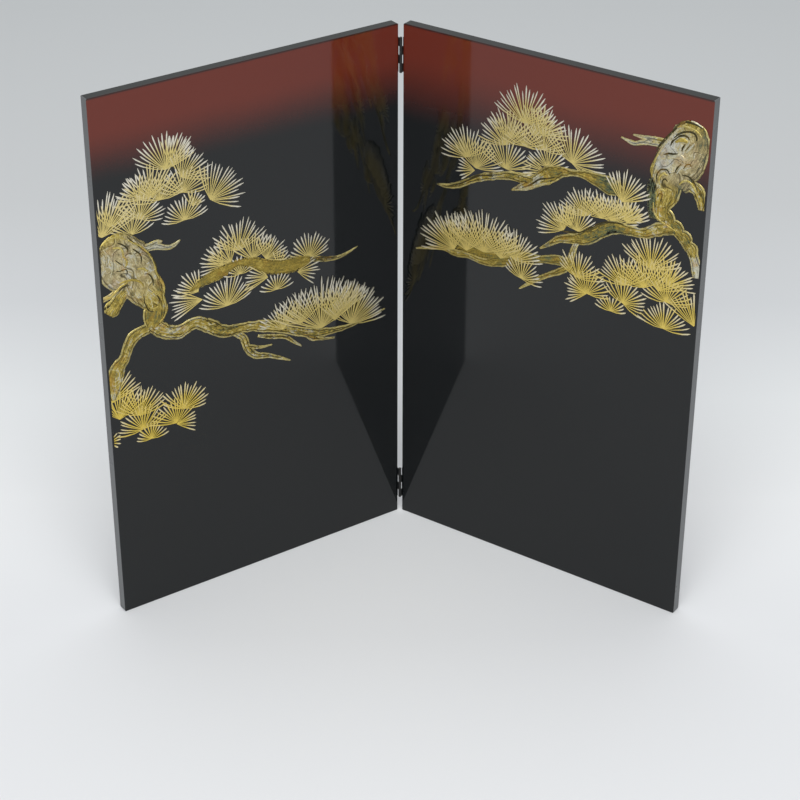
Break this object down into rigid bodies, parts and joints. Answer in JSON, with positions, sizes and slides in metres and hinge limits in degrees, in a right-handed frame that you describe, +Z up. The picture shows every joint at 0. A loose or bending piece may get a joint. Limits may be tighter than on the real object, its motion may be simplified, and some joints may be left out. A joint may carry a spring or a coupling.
{
  "type": "tabletop folding screen",
  "caption": "Tabletop folding screen of flat lacquered panels on small butt hinges, which folds shut or opens flat, with a raised gold pine picture on its front faces.",
  "frame": {"origin": "on the floor, in the middle of the space that the standing screen covers", "axes": "+X to the viewer's right across the standing screen, -Y the way the picture faces, +Z up along the panels"},
  "size_m": [0.417, 0.1454, 0.41],
  "materials": {
    "lacquered_board": "high gloss black lacquer, shaded to deep red along the top of the front",
    "hinge_steel": "satin black paint",
    "screw_steel": "blackened steel",
    "branch_gold": "gold and silver powder in raised lacquer",
    "needle_gold": "gold and silver powder in raised lacquer"
  },
  "bodies": {
    "left_side": {"left_panel": "lacquered_board", "upper_hinge_left_leaf": "hinge_steel", "upper_hinge_pin": "hinge_steel", "lower_hinge_left_leaf": "hinge_steel", "lower_hinge_pin": "hinge_steel", "upper_left_screws": "screw_steel", "lower_left_screws": "screw_steel", "left_pine_wood": "branch_gold", "left_pine_needles": "needle_gold"},
    "right_side": {"right_panel": "lacquered_board", "upper_hinge_right_leaf": "hinge_steel", "lower_hinge_right_leaf": "hinge_steel", "upper_right_screws": "screw_steel", "lower_right_screws": "screw_steel", "right_pine_wood": "branch_gold", "right_pine_needles": "needle_gold"}
  },
  "joints": [
    {"name": "fold", "type": "hinge", "parent": "left_side", "child": "right_side", "pos_m": [0, 0.06551, 0.205], "axis": [0, 0, 1], "range_deg": [-111, 69]}
  ]
}
